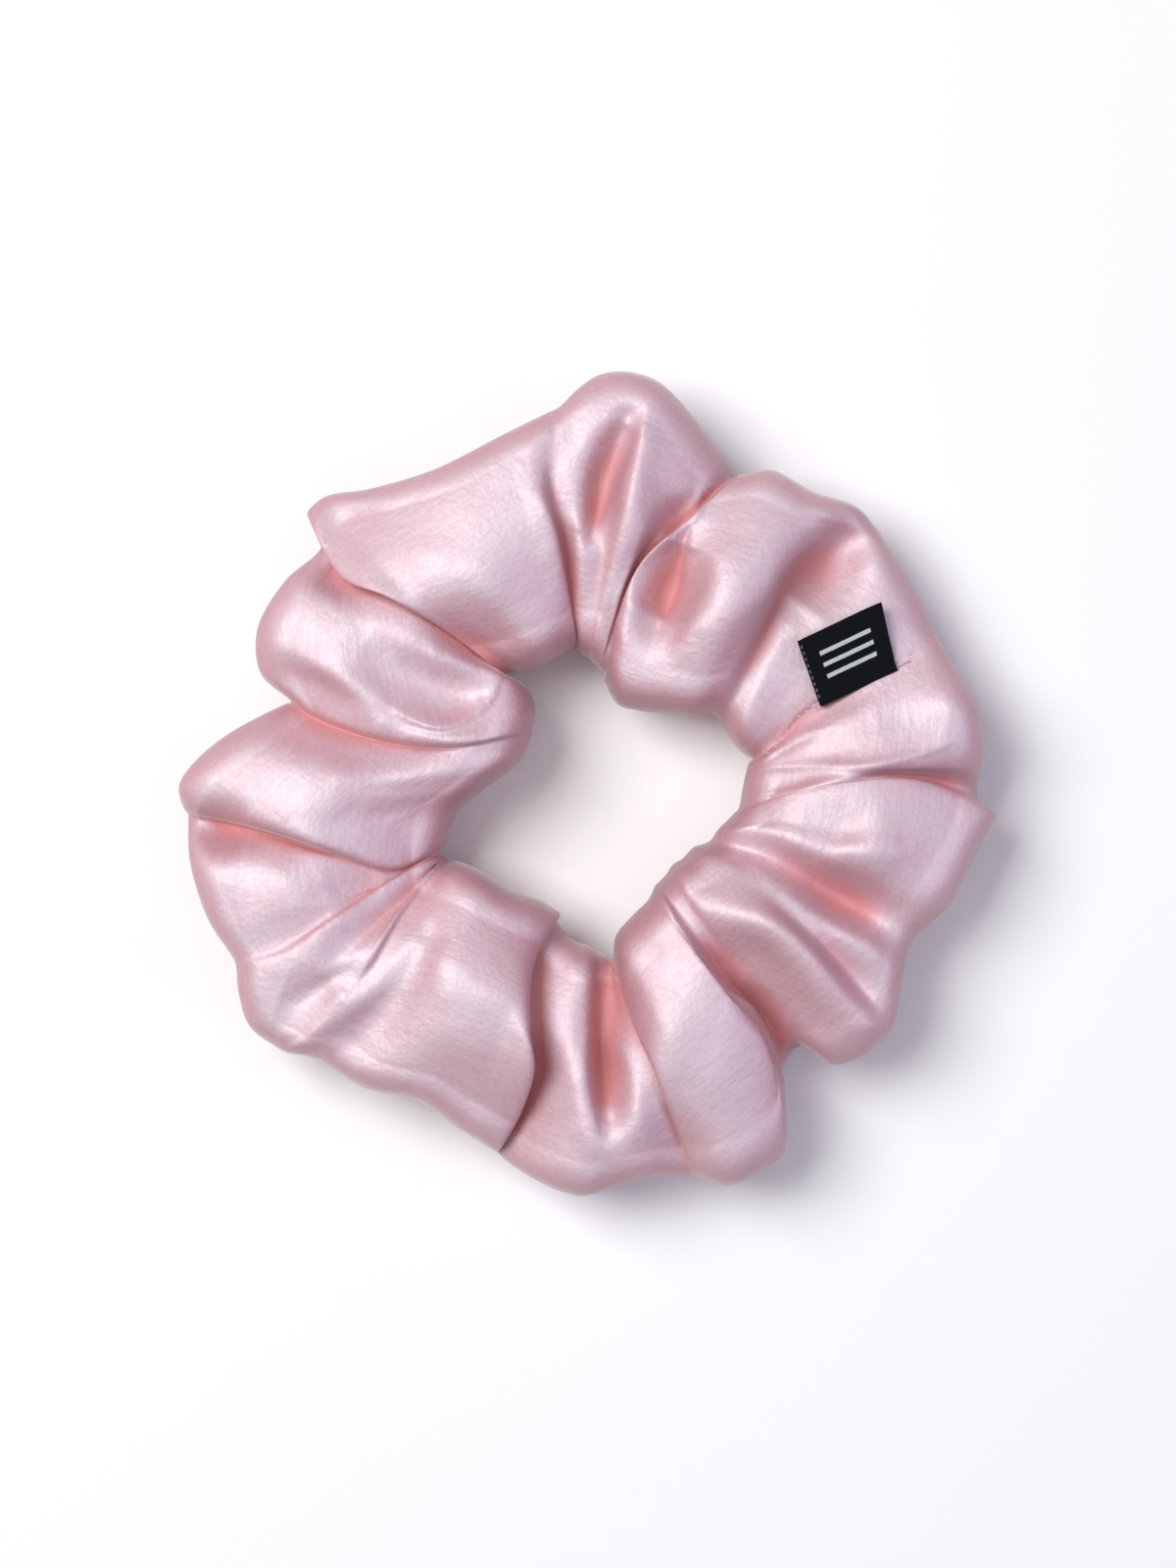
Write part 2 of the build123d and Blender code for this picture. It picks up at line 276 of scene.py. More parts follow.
# the folds, in mm: each line has its heights, from near the hole to near the outer edge, then its points
folds = {
    "the wide flap": [
        ((18.5, 23, 24, 23, 22.5), (-1.5, 19.5), (-3, 27.5), (-4.5, 35), (-6.5, 42), (-6, 52.5)),
        ((20.5, 24, 22.5), (-3.5, 18.5), (-8, 34), (-12, 49.5)),
        ((21.5, 25, 24.5, 22), (-6, 17), (-16, 32), (-22, 44.5)),
        ((19.5, 24.5, 24, 19), (-8.5, 16), (-22, 30.5), (-31, 42)),
        ((18, 23.5, 22.5, 16), (-10.5, 16), (-27, 29), (-37.5, 41)),
        ((17.5, 23.5, 23.5, 17.5), (-12, 15.5), (-20, 21.5), (-28, 26), (-34.5, 29), (-40, 38.5)),
        ((16, 20.5, 20.5, 14), (-11.5, 15.5), (-19, 21.5), (-27, 27), (-33.5, 30.5), (-38, 38)),
    ],
    "the pillow below it": [
        ((17, 21, 20.5, 15), (-11, 15), (-20, 20.5), (-28.5, 25.5), (-35, 28.5), (-38, 34)),
        ((19.5, 22.5, 21.5, 19), (-9.5, 14.5), (-29, 21), (-43, 29)),
        ((19.5, 19, 21, 22, 20), (-8, 12.5), (-18, 13), (-30, 15), (-39, 18), (-47, 22)),
        ((21, 22.8, 22.2, 21.5, 18), (-7.5, 10), (-18, 8), (-28, 9.5), (-37, 13.5), (-46.5, 15.5)),
        ((21.3, 22.1, 21.8, 21.2, 17.5), (-8, 7.5), (-19, 5.5), (-28, 6.5), (-36, 9), (-42.5, 12)),
        ((20.5, 20.7, 20, 19.8, 16.5), (-8, 7), (-19.5, 5), (-28.5, 6), (-36.5, 8.5), (-42.5, 11.5)),
    ],
    "the long left fold": [
        ((20.5, 21, 20.5, 20, 16.5), (-8.5, 5.5), (-20, 4.5), (-29, 5.5), (-37, 8), (-43, 11.5)),
        ((21, 23.5, 23.5, 20.5), (-10.5, 2.5), (-30, 1.5), (-50.5, 7.5)),
        ((20.5, 24, 24, 21.5), (-14.5, -0.5), (-32, -1), (-55, 4)),
        ((19, 24, 24, 21), (-18.5, -4), (-36, -5), (-58, 0)),
        ((17.5, 22.5, 23.3, 22.3, 19), (-20.5, -8.5), (-27, -11.5), (-36, -9), (-46, -6), (-57.5, -3.5)),
        ((16.5, 20.5, 20.5, 19, 16.5), (-21, -9), (-27, -12), (-36.5, -9.5), (-46.5, -6.5), (-57, -4.5)),
    ],
    "the flat gather": [
        ((16.7, 20.7, 21, 19.6, 17), (-21, -9.5), (-27, -12.5), (-37, -10), (-46.5, -7.5), (-57, -5.5)),
        ((17, 22, 22.5, 21, 20.5), (-21, -9.5), (-28, -13), (-39, -13), (-49, -11), (-56.5, -11)),
        ((17, 22, 22.5, 22, 21), (-21, -10), (-28.5, -14), (-38, -16.5), (-47.5, -17.5), (-54, -19)),
        ((17, 21.5, 21.7, 21.2, 20.5), (-21, -10), (-27, -13), (-36, -18.5), (-43.5, -23), (-50.5, -24.5)),
    ],
    "the turned band": [
        ((17.3, 22.2, 22.6, 22, 21), (-20.5, -10.5), (-27, -13.5), (-36, -19.5), (-43, -24), (-50, -25.5)),
        ((17.2, 22, 21.6, 21, 21), (-20.5, -10.5), (-28, -17.5), (-37, -25.5), (-43, -28.5), (-49.5, -30)),
        ((17.3, 22, 21.2, 20.8, 20), (-20.5, -10.5), (-27, -18), (-33, -25), (-41.5, -31.5), (-48, -34.5)),
        ((17.5, 22.3, 22, 22.5, 20), (-20.5, -10.5), (-26, -17.5), (-32, -27), (-38.5, -33.5), (-44, -37.5)),
    ],
    "the broad lower face": [
        ((17.5, 21.7, 21.7, 22.5, 20.5), (-20, -11), (-25.5, -18), (-31, -27), (-37.5, -34), (-43, -38)),
        ((19.5, 23.5, 22.5, 21), (-18.5, -11), (-26, -27), (-38.5, -39)),
        ((21.5, 25.5, 24, 21), (-15, -12.5), (-22, -29.5), (-32, -43)),
        ((21.5, 26, 25, 21), (-11, -15), (-16, -31), (-24, -45)),
        ((20, 25.5, 25, 19), (-7, -16.5), (-11.5, -33), (-18.5, -49)),
        (
            (18, 24.4, 25, 24.4, 17),
            (-4, -18.5),
            (-7.5, -25),
            (-8, -34),
            (-7.5, -39.5),
            (-9.5, -46),
            (-13, -52.5),
        ),
        (
            (16.5, 19.7, 19.5, 18.5, 14),
            (-4.5, -19.5),
            (-8, -25.5),
            (-8.5, -34),
            (-8.5, -39.5),
            (-10, -46),
            (-13.5, -52),
        ),
    ],
    "the narrow gather": [
        ((16.5, 18.8, 17.8, 17.5, 15), (-3.5, -21), (-6.5, -28), (-7, -40), (-8, -46.5), (-11.5, -54)),
        ((18.5, 21.5, 21.5, 21, 19.5), (-1.5, -22.5), (-2, -31), (-2, -40), (-2.5, -48), (-5, -57.5)),
        ((18.5, 21.8, 21.5, 21.5, 20), (0, -23), (0, -31), (0, -40), (0.5, -49), (-1, -58.5)),
        ((17, 18.8, 18.3, 20.5, 20), (1.5, -24), (2, -31), (2, -38), (3, -48), (3, -57.5)),
        ((16.5, 20.3, 20.6, 21.5, 19.5), (2.5, -24.5), (4, -32), (6, -41), (7.5, -49), (8.5, -56)),
        ((17, 20.9, 21.2, 20.6, 16.5), (3, -25), (5, -30), (9.5, -40), (12, -47), (14.5, -56)),
    ],
    "the lower right flap": [
        ((18, 22.3, 22.8, 22.4, 17.5), (3.5, -25), (6.5, -34), (9, -39.5), (11.5, -46), (15.5, -56)),
        ((21.5, 24.8, 24.3, 20), (4, -21.5), (9.5, -32), (14, -41), (20, -57)),
        ((22.5, 24.8, 24.4, 20), (6.5, -18.5), (13, -29), (19, -39), (24.5, -55)),
        ((23, 24.5, 24, 23.8, 18), (8.5, -16.5), (14, -23), (19.5, -30), (24.5, -37), (28, -52)),
        ((22.8, 24.5, 23.8, 23.4, 18), (9.5, -14.5), (14.5, -22.5), (19, -29), (23.5, -33), (28, -43)),
        ((21.5, 21.7, 18.6, 17, 13), (10, -14), (15, -21), (19.5, -28), (24.5, -32.5), (28, -40.5)),
    ],
    "the round fold": [
        ((21.5, 21.8, 18.8, 17.6, 15), (11, -13), (16, -20), (20.5, -27), (26, -33), (30, -37.5)),
        ((22, 23, 21.2, 18.5), (12, -11.5), (16.5, -18), (25, -26), (35, -40)),
        ((22, 25, 24.8, 23.8, 21), (13.5, -10.5), (20, -15.5), (28, -21), (35, -28.5), (41, -37)),
        ((21, 23, 21, 19.6, 19.5), (15, -9), (21.5, -13), (30, -20), (37.5, -27), (43.5, -34)),
        ((19.5, 22.7, 22.2, 22, 20), (16.5, -8.5), (23, -11.5), (31.5, -18), (39.5, -23), (44.5, -28.5)),
    ],
    "the pointed fold": [
        ((18.5, 20, 17.8, 17.6, 18), (17.5, -8), (25, -10), (33.5, -15), (40.5, -19), (46, -22.5)),
        ((20, 23.5, 23.5, 23, 20.5), (18.5, -6.5), (25.5, -7), (33.5, -10), (40.5, -12.5), (51, -17.5)),
        ((20, 22.7, 22.6, 23, 19.5), (19.5, -5.5), (28, -5), (37, -6), (46, -7), (56, -8)),
        ((18.3, 22, 22.3, 22, 18), (21, -4), (26, -2), (35, 0), (46, 0.5), (58, -4)),
        ((18, 21.4, 21.7, 21.4, 17), (21, -4), (26.5, -2.5), (35, -0.5), (45.5, 0), (56, -3)),
    ],
    "the smooth stretch before the seam": [
        ((17.5, 20.7, 21.3, 20, 15), (21.5, -3.5), (28, -1), (36, 0.5), (46.5, 1), (55.5, -1.5)),
        ((17.5, 21.5, 22, 19), (22, -1), (37, 2), (56, 2.5)),
        ((17.5, 21.3, 21.5, 21), (22.5, 1.5), (38, 5), (56, 6.5)),
        ((17, 20, 20.5, 21.5), (23, 3), (39, 9.5), (55, 11.5)),
        ((15, 17.4, 18, 17.8, 17.2), (23.5, 3.5), (28, 7.5), (38, 14), (44, 17.5), (49.5, 21.5)),
    ],
    "the slack beside the label": [
        ((16.5, 18, 18.2, 18), (22, 4.5), (29.5, 13), (34.5, 19.5), (47, 27)),
        ((18, 18.5, 18.8, 18), (20.5, 6), (30.5, 24), (43.5, 32.5)),
        ((17.5, 18, 18, 17.2), (19, 8.5), (24.5, 21), (28.5, 29), (41, 36.5)),
    ],
    "the curled fold": [
        ((20.5, 22.5, 22.5, 19.5), (17.5, 10), (23.5, 23), (28.5, 31.5), (38, 39.5)),
        ((22, 25.2, 24.5, 21), (14.5, 9.5), (22, 28), (32, 41.5)),
        ((22, 24.5, 24, 20.5), (10.5, 10), (18, 29.5), (26.5, 44.5)),
        ((21, 21, 20.3, 22, 20), (7, 10.5), (10.5, 21), (13.5, 29), (17, 36.5), (23, 44)),
        ((20, 21.7, 21.8, 22.2, 20), (4, 11.5), (5.5, 22), (9, 29.5), (14.5, 35.5), (21.5, 44)),
        ((18.5, 21, 21.6, 22, 19.5), (2.5, 14.5), (4.5, 24.5), (7.5, 31), (14, 37), (21, 43.5)),
        ((17.5, 19.3, 19.6, 20, 17), (2.5, 15.5), (5, 25), (8, 31), (14.5, 37.5), (20.5, 44)),
    ],
    "the peak at the top": [
        ((17.5, 19.7, 20, 20.3, 18.5), (2, 16), (4.5, 25), (7, 31), (13, 38), (19.5, 46)),
        ((18.5, 22.5, 22.3, 21), (1.5, 16.5), (5.5, 29.5), (9, 38.5), (15, 52)),
        ((19, 24, 24, 22), (0.5, 17.5), (5.5, 39), (10, 57)),
        ((18.5, 22.5, 22, 22), (0, 18), (3, 40), (5.5, 58.5)),
        ((18, 22.8, 22.5, 21.5), (-1, 18.5), (-0.5, 39), (1.5, 58)),
        ((17.5, 21.7, 21.4, 21.4), (-1.5, 19), (-2.5, 32), (-3, 42), (-1.5, 56)),
        ((17.3, 21.7, 22, 22), (-1.5, 19), (-3.5, 31.5), (-5, 40.5), (-4, 53.5)),
    ],
}
fold_lines = [line for lines in folds.values() for line in lines]

# where the tube's two ends meet, from the hole outwards, in mm
seam_path = (24, 3.5), (27.5, 6.5), (30, 9.5), (33, 11.5), (43.5, 17), (49.5, 21.5)

# width, depth and lap, then a path in plan, in mm: a hollow is pressed in along the path, or with a
# negative depth a crest is raised, and a lap lifts the cloth on the left over that on the right
pressings = [
    # the pillow: the dent at its inner end, that dent's lip, the band under it, a soft crest and a dip
    ((2.8, 1, 0), (-26, 11.5), (-20.5, 10), (-15, 12)),
    ((0.7, 0, 0.7), (-28.5, 11), (-24.5, 8.5), (-20, 7.5), (-16, 9), (-13, 12), (-12, 15)),
    ((1.5, -0.4, 0), (-25, 7), (-19.5, 6), (-14, 6.5), (-10, 10)),
    ((3, -0.7, 0), (-37, 15), (-32, 13.5), (-29, 9)),
    ((3.5, 0.9, 0), (-31, 20.5), (-26, 18), (-21, 18.5)),
    # the long left fold: the hollow below it and its soft dip
    ((3.2, 2.4, 0), (-55.5, -5.5), (-51.5, -6.5), (-47.5, -7.5)),
    ((6, 1.2, 0), (-33, 3.5), (-28.5, 0), (-26, -5)),
    # the flat gather's dip, the hollow in the turned band and the crest beside it
    ((3, 1, 0), (-28.5, -13.5), (-32, -14.5), (-36.5, -15.5)),
    ((5, 1.1, 0), (-43, -29), (-39.5, -30), (-35.5, -27.5)),
    ((1.8, -0.45, 0), (-22.5, -19), (-28, -26), (-33.5, -32), (-38.5, -34.5), (-42.5, -35)),
    # the broad lower face's valley
    ((4.2, 2, 0), (-22, -22), (-26.5, -30), (-31.5, -35), (-37, -38.5)),
    # the narrow gather: its hollow, that hollow's steep side and the crest round its end
    ((3, 2.8, 0), (2, -26.5), (2, -33), (2, -40), (3, -46.5)),
    ((0.9, 0, -0.9), (1, -26.5), (0.5, -33.5), (0.5, -41), (1.5, -47)),
    ((2, -0.5, 0), (-1.5, -42), (-0.5, -48.5), (3, -51), (6, -48.5), (7.5, -42.5)),
    # the round fold: the pocket before it, its crest, the dip beside that, and the crest round the dip
    ((2, 2, 0), (20.5, -29), (23.5, -31), (26.5, -34.5)),
    ((3.2, -0.9, 0), (13.5, -16), (20, -17.5), (26.5, -21.5), (32, -27.5), (36.5, -32), (41, -34.5)),
    ((1.6, 1.2, 0), (32.5, -22), (36.5, -27), (40, -31)),
    ((1.2, -0.5, 0), (39, -33.5), (42.5, -34), (44, -31.5), (44.5, -28.5)),
    # the pointed fold: its trough, its swell and a dip
    ((4.4, 1.4, 0), (26, -10.5), (34, -15.5), (42, -19)),
    ((3.4, -0.8, 0), (36, -9.5), (40, -9.5), (44.5, -9)),
    ((4, 0.8, 0), (29.5, -5.5), (33.5, -6), (36.5, -6.5)),
    # the stretch at the seam: a hollow, the closing seam, its puckers and two fine lines
    ((4, 0.8, 0), (40, 8.5), (45.5, 9), (50.5, 8)),
    ((0.5, 0.45, 0.15), *seam_path),
    ((0.8, -0.4, 0), (24, 3), (28, 5.5), (33.5, 8)),
    ((0.8, 0.7, 0), (25.5, 3.5), (28.5, 5.5), (32, 7)),
    ((0.8, -0.5, 0.1), (23, 2), (31, 2.5), (39, 2.5), (46, 4), (51, 6)),
    ((0.6, -0.4, 0.1), (24, -1.5), (29, -1), (35, 0.5), (46, 1)),
    # beside the label: a crest near the outer edge and the large hollow
    ((2.6, -0.6, 0), (36.5, 39), (40.5, 37), (45, 31)),
    ((4.8, 3.4, 0), (36.5, 37), (34, 31), (30, 24.5)),
    # the curled fold: its deep pocket, the pocket's steep side and its lip
    ((4.2, 3.8, 0), (13.5, 34), (11.5, 28.5), (9, 23)),
    ((2.6, 0, 0.9), (14.5, 36.5), (13.5, 32), (13, 27.5), (10.5, 22)),
    ((0.8, -0.3, 0), (19.5, 43), (15.5, 40), (13.5, 36), (9, 32.5), (6, 29.5), (4, 25), (4.5, 21)),
    # the peak: its hollow, that hollow's steep side, and the dips beside both neighbours
    ((2.7, 4, 0), (5.5, 51), (4, 47), (2, 42.5), (1, 38.5), (0.5, 35)),
    ((1.6, 0, 0.7), (7.5, 51), (6.5, 47.5), (3.5, 41), (1, 35)),
    ((1.8, 1.3, 0), (14.5, 40), (11.5, 37.5), (9, 34.5)),
    ((1.8, 0.8, 0), (-4.5, 49), (-5.5, 44.5), (-4.5, 39)),
]

lines_round_ring = 960
points_over_top = 120
points_under = 28
rim = 0.15  # the share of a line that lies before its first height, and after its last
flat_length = 576.0  # of the rectangle, before it is gathered


def spline_through(points, stations, closed):
    """A centripetal curve through points, read at stations from 0 to 1 of its length."""
    points = np.asarray(points, float)
    if closed:
        ends = points[-2:], points[:3]
    else:
        ends = [2 * points[0] - points[1]], [2 * points[-1] - points[-2]]
    run = np.concatenate([ends[0], points, ends[1]])
    gap = run[1:] - run[:-1]
    size = np.sqrt((gap.reshape(len(gap), -1, run.shape[-1]) ** 2).sum(-1).mean(-1))
    knot = np.concatenate([[0], np.cumsum(np.sqrt(size + 1e-9))])
    first, last = (2, len(points) + 2) if closed else (1, len(points))
    t = knot[first] + (knot[last] - knot[first]) * np.asarray(stations, float)
    k = np.clip(np.searchsorted(knot, t, side="right") - 1, first, last - 1)
    shape = (-1,) + (1,) * (run.ndim - 1)
    k0, k1, k2, k3 = (knot[k + n].reshape(shape) for n in (-1, 0, 1, 2))
    p0, p1, p2, p3 = (run[k + n] for n in (-1, 0, 1, 2))
    t = t.reshape(shape)
    a1 = ((k1 - t) * p0 + (t - k0) * p1) / (k1 - k0)
    a2 = ((k2 - t) * p1 + (t - k1) * p2) / (k2 - k1)
    a3 = ((k3 - t) * p2 + (t - k2) * p3) / (k3 - k2)
    b1 = ((k2 - t) * a1 + (t - k0) * a2) / (k2 - k0)
    b2 = ((k3 - t) * a2 + (t - k1) * a3) / (k3 - k1)
    return ((k2 - t) * b1 + (t - k1) * b2) / (k2 - k1)


def over_the_top(line):
    """One line of cloth as points in space, from the hole over the top to the outer edge."""
    heights, plan = np.array(line[0], float), np.array(line[1:], float)
    share = 0.5 - 0.5 * np.cos(np.linspace(0, math.pi, points_over_top))
    flat = spline_through(plan, share, False)
    stations = np.clip((share - rim) / (1 - 2 * rim), 0, 1)
    top = spline_through(heights[:, None], stations, False)[:, 0]
    edge = 0.5 * (heights[0] * (1 - share) + heights[-1] * share)
    fullness = np.sqrt(np.clip(1 - np.abs(2 * share - 1) ** 8, 0, 1))
    return np.column_stack([flat, edge + (top - edge) * fullness])


top = np.array([over_the_top(line) for line in fold_lines])
top = spline_through(top, np.arange(lines_round_ring) / lines_round_ring, True)

path_points = 48
lap_edge = 0.4  # how far across its path a lap takes to rise
press_from, press_full = 10, 15  # the heights between which pressing sets in


def press(cloth, width, depth, lap, path):
    """Presses one hollow, crest or lap into the cloth's heights. It fades out at both ends of its path,
    and only the cloth on top of the tube moves."""
    line = spline_through(path, np.linspace(0, 1, path_points), False)
    run = line[1:] - line[:-1]
    near = (np.abs(cloth[..., :2] - line.mean(0)) < np.ptp(line, 0) / 2 + 4 * width + 2).all(-1)
    points = cloth[near]
    gap = points[:, None, :2] - line[None, :-1]
    part = np.clip((gap * run).sum(-1) / (run**2).sum(-1), 0, 1)
    gap = gap - part[..., None] * run
    distance = np.hypot(gap[..., 0], gap[..., 1])
    closest = distance.argmin(1)
    pick = np.arange(len(points)), closest
    distance, gap = distance[pick], gap[pick]
    along = (closest + part[pick]) / len(run)
    fade = np.sqrt(np.clip(np.sin(np.pi * np.clip(along, 0.04, 0.96)), 0, 1))
    side = run[closest, 0] * gap[:, 1] - run[closest, 1] * gap[:, 0]
    side = np.tanh(side / np.hypot(*run[closest].T) / lap_edge)
    upper = np.clip((points[:, 2] - press_from) / (press_full - press_from), 0, 1)
    reach = width * (0.35 + 0.65 * fade)
    points[:, 2] -= depth * fade * upper * np.exp(-((distance / reach) ** 2))
    points[:, 2] += lap * side * fade * upper * np.exp(-distance / (1.6 * width))
    cloth[near] = points


for (width, depth, lap), *path in pressings:
    press(top, width, depth, lap, path)

# The cloth is never quite even: it ripples softly all over, and small pleats run in from both edges.
ripple_height = 0.22
pleat_height = 0.55
inner_pleats, outer_pleats = 0.4, 0.3  # how far in they run, as shares of a line
full_above = 16  # lower down, ripples and pleats are slighter
directions = np.arange(lines_round_ring) / lines_round_ring * 2 * math.pi
for line, direction in zip(top, directions):
    c, s = math.cos(direction), math.sin(direction)
    for number, point in enumerate(line):
        over = number / (points_over_top - 1)
        ripple = noise.noise(Vector((point[0], point[1], 7)) * 0.16)
        pleat = noise.noise(Vector((9 * c, 9 * s, 1.3 * over)))
        gathered = max(0, 1 - over / inner_pleats) + 0.8 * max(0, 1 - (1 - over) / outer_pleats)
        point[2] += (ripple_height * ripple + pleat_height * gathered * pleat) * min(point[2] / full_above, 1)


def smoothed(rows, width, axis=0):
    """Rows, each averaged with its neighbours."""
    reach = np.arange(-3 * width, 3 * width + 1)
    weights = np.exp(-0.5 * (reach / width) ** 2)
    weights /= weights.sum()
    return sum(w * np.roll(rows, r, axis=axis) for w, r in zip(weights, reach))


# Underneath, the cloth lies pressed flat, with creases that run across it between the gathers.
lowest = 0.15
crease_height = 3.0
crease_width = 0.13
base_spread = 18  # how many lines a gather is evened out over, where the cloth rests
shares_under = 0.5 - 0.5 * np.cos(np.linspace(0, math.pi, points_under + 2)[1:-1])
inner_edge, outer_edge = top[:, :1], top[:, -1:]
inner_base, outer_base = smoothed(inner_edge, base_spread), smoothed(outer_edge, base_spread)
tuck = 0.06 * (outer_base - inner_base)
inner_base, outer_base = inner_base + tuck, outer_base - tuck
part = shares_under[None, :, None]
settle = np.clip(1 - np.abs(2 * part - 1) ** 3, 0, 1) ** 0.5
straight = outer_edge + (inner_edge - outer_edge) * part
base = outer_base + (inner_base - outer_base) * part
under = straight + (base - straight) * settle
wrinkle = np.array(
    [
        [noise.noise(Vector((4.5 * math.cos(t), 4.5 * math.sin(t), 1.1 * s))) for s in shares_under]
        for t in directions
    ]
)
rest_height = lowest + crease_height * np.exp(-((wrinkle / crease_width) ** 2))
under[..., 2] = straight[..., 2] + (rest_height - straight[..., 2]) * settle[..., 0]
loops = np.concatenate([top, under], axis=1)
around = loops.shape[1]

# How deep each point lies among its neighbours, from 0 on a crest to 1 in a crease, for the painted crease
# shade.
cell = 0.5
relief_reach = 64  # from the origin to the edge of the relief, on each side
cells = round(2 * relief_reach / cell)
places = np.floor((loops[..., :2] + relief_reach) / cell).astype(int)
relief = np.zeros((cells, cells))
np.maximum.at(relief, (places[..., 0].ravel(), places[..., 1].ravel()), loops[..., 2].ravel())


def depth_among(width, full):
    """The depth below the relief blurred over width cells, as a share of full."""
    level = smoothed(smoothed(relief, width, 0), width, 1)
    x, y = ((loops[..., :2] + relief_reach) / cell - 0.5).transpose(2, 0, 1)
    i, j = np.floor(x).astype(int), np.floor(y).astype(int)
    x, y = x - i, y - j
    low = level[i, j] * (1 - y) + level[i, j + 1] * y
    high = level[i + 1, j] * (1 - y) + level[i + 1, j + 1] * y
    return (low * (1 - x) + high * x - loops[..., 2]) / full


shallow_below, deep_above = 7, 13  # low on the tube's sides nothing counts as a crease
upper_side = np.clip((loops[..., 2] - shallow_below) / (deep_above - shallow_below), 0, 1)
depth = 0.5 * depth_among(16, 5) + 0.6 * depth_among(8, 3.5) + 0.5 * depth_among(3, 1.6)
depth = np.clip(depth, 0, 1) * upper_side

# How far each point's cloth turns away from lying flat, from 0 to 1, for painted light and shade: flat cloth is
# painted pale as if lit from above, turned cloth darker pink as if in shade.
across_lines = np.roll(loops, -1, axis=0) - np.roll(loops, 1, axis=0)
along_lines = np.roll(loops, -1, axis=1) - np.roll(loops, 1, axis=1)
facing = np.cross(across_lines, along_lines)
slope = 1 - np.abs(facing[..., 2]) / np.maximum(np.linalg.norm(facing, axis=-1), 1e-9)
slope = smoothed(smoothed(slope, 2, 0), 1, 1)

# Where each point is on the flat cloth, in mm round the ring and across it.
lengths = np.linalg.norm(np.diff(loops, axis=1, append=loops[:, :1]), axis=-1)
on_flat = np.zeros(loops.shape)
on_flat[..., 0] = np.arange(lines_round_ring)[:, None] * (flat_length / lines_round_ring)
on_flat[..., 1] = np.cumsum(lengths, axis=1)
loops = loops * mm

shape = bmesh.new()
bmesh.ops.create_grid(shape, x_segments=lines_round_ring, y_segments=around, size=0.5)
cover_mesh = meshed("cover", shape)
grid = np.zeros(len(cover_mesh.vertices) * 3)
cover_mesh.vertices.foreach_get("co", grid)
grid = grid.reshape(-1, 3) + 0.5
row = np.rint(grid[:, 0] * lines_round_ring).astype(int) % lines_round_ring
column = np.rint(grid[:, 1] * around).astype(int) % around
cover_mesh.vertices.foreach_set("co", loops[row, column].ravel())
# fold_depth carries the crease depth for the painted crease shade, and for a rougher finish in the creases
fold_depth = cover_mesh.attributes.new("fold_depth", "FLOAT", "POINT")
fold_depth.data.foreach_set("value", depth[row, column])
# fold_slope carries the slope for the painted light and shade on the faces
fold_slope = cover_mesh.attributes.new("fold_slope", "FLOAT", "POINT")
fold_slope.data.foreach_set("value", slope[row, column])
flat_place = cover_mesh.attributes.new("flat_place", "FLOAT_VECTOR", "POINT")
flat_place.data.foreach_set("vector", on_flat[row, column].ravel())

shape = bmesh.new()
shape.from_mesh(cover_mesh)
bmesh.ops.remove_doubles(shape, verts=shape.verts, dist=1e-7)
bmesh.ops.recalc_face_normals(shape, faces=shape.faces)
shape.to_mesh(cover_mesh)
shape.free()
cover = in_scene("satin_cover", cover_mesh)

satin, tree = material("silk_satin")
crease_shade_and_roughness = node(tree, "ShaderNodeAttribute", {"attribute_name": "fold_depth"}, output=2)
slope_for_painted_shade = node(tree, "ShaderNodeAttribute", {"attribute_name": "fold_slope"}, output=2)
place_here = node(tree, "ShaderNodeTexCoord", {}, output=3)
flat_here = node(tree, "ShaderNodeAttribute", {"attribute_name": "flat_place"}, output=1)
cloud = node(tree, "ShaderNodeTexNoise", {}, Vector=place_here, Scale=110.0, Detail=3.0)
speck = node(tree, "ShaderNodeTexNoise", {}, Vector=place_here, Scale=1500.0, Detail=3.0)
thread_places = node(tree, "ShaderNodeMapping", {}, flat_here, Scale=(0.12, 1.6, 1.0))
slub = node(tree, "ShaderNodeTexNoise", {}, Vector=thread_places, Scale=1.0, Detail=3.0)
# painted light and shade from the slope, with random tone from the cloud, speck and slub noises on top: flat
# faces pale lilac, turned faces darker and pinker
painted_slope_shade_and_grain = slope_for_painted_shade * 1.1 + 0.22 * (cloud - 0.5) + 0.26 * (speck - 0.5) + 0.26 * (slub - 0.5)
face_colour_with_painted_shade = node(
    tree,
    "ShaderNodeValToRGB",
    {
        "stops": [
            (0.00, (0.72, 0.56, 0.63, 1)),
            (0.10, (0.69, 0.495, 0.56, 1)),
            (0.35, (0.62, 0.35, 0.40, 1)),
            (0.70, (0.53, 0.25, 0.29, 1)),
            (1.00, (0.42, 0.19, 0.22, 1)),
        ]
    },
    painted_slope_shade_and_grain,
)
# painted shade: the deeper a point lies in a crease, the more its colour turns to a deep salmon, standing in
# for the shade and glow between folds
colour = node(
    tree,
    "ShaderNodeMix",
    {"data_type": "RGBA"},
    Factor=node(tree, "ShaderNodeMapRange", {}, crease_shade_and_roughness, 0.08, 0.9, 0.0, 1.0),
    A=face_colour_with_painted_shade,
    B=(0.60, 0.22, 0.23, 1),
    output=2,
)
crumple = node(tree, "ShaderNodeTexNoise", {}, Vector=place_here, Scale=240.0, Detail=2.0)
grain = node(
    tree,
    "ShaderNodeBump",
    {},
    Strength=0.50,
    Distance=0.0002,
    Height=speck + 0.6 * slub + 2.5 * crumple,
)
shader = node(
    tree,
    "ShaderNodeBsdfPrincipled",
    {},
    Base_Color=colour,
    Metallic=0.12,
    Roughness=0.56 + 0.2 * crease_shade_and_roughness + 0.12 * (cloud - 0.5),
    Specular_IOR_Level=0.9,
    IOR=1.7,
    Sheen_Weight=0.45,
    Sheen_Roughness=0.35,
    Normal=grain,
)
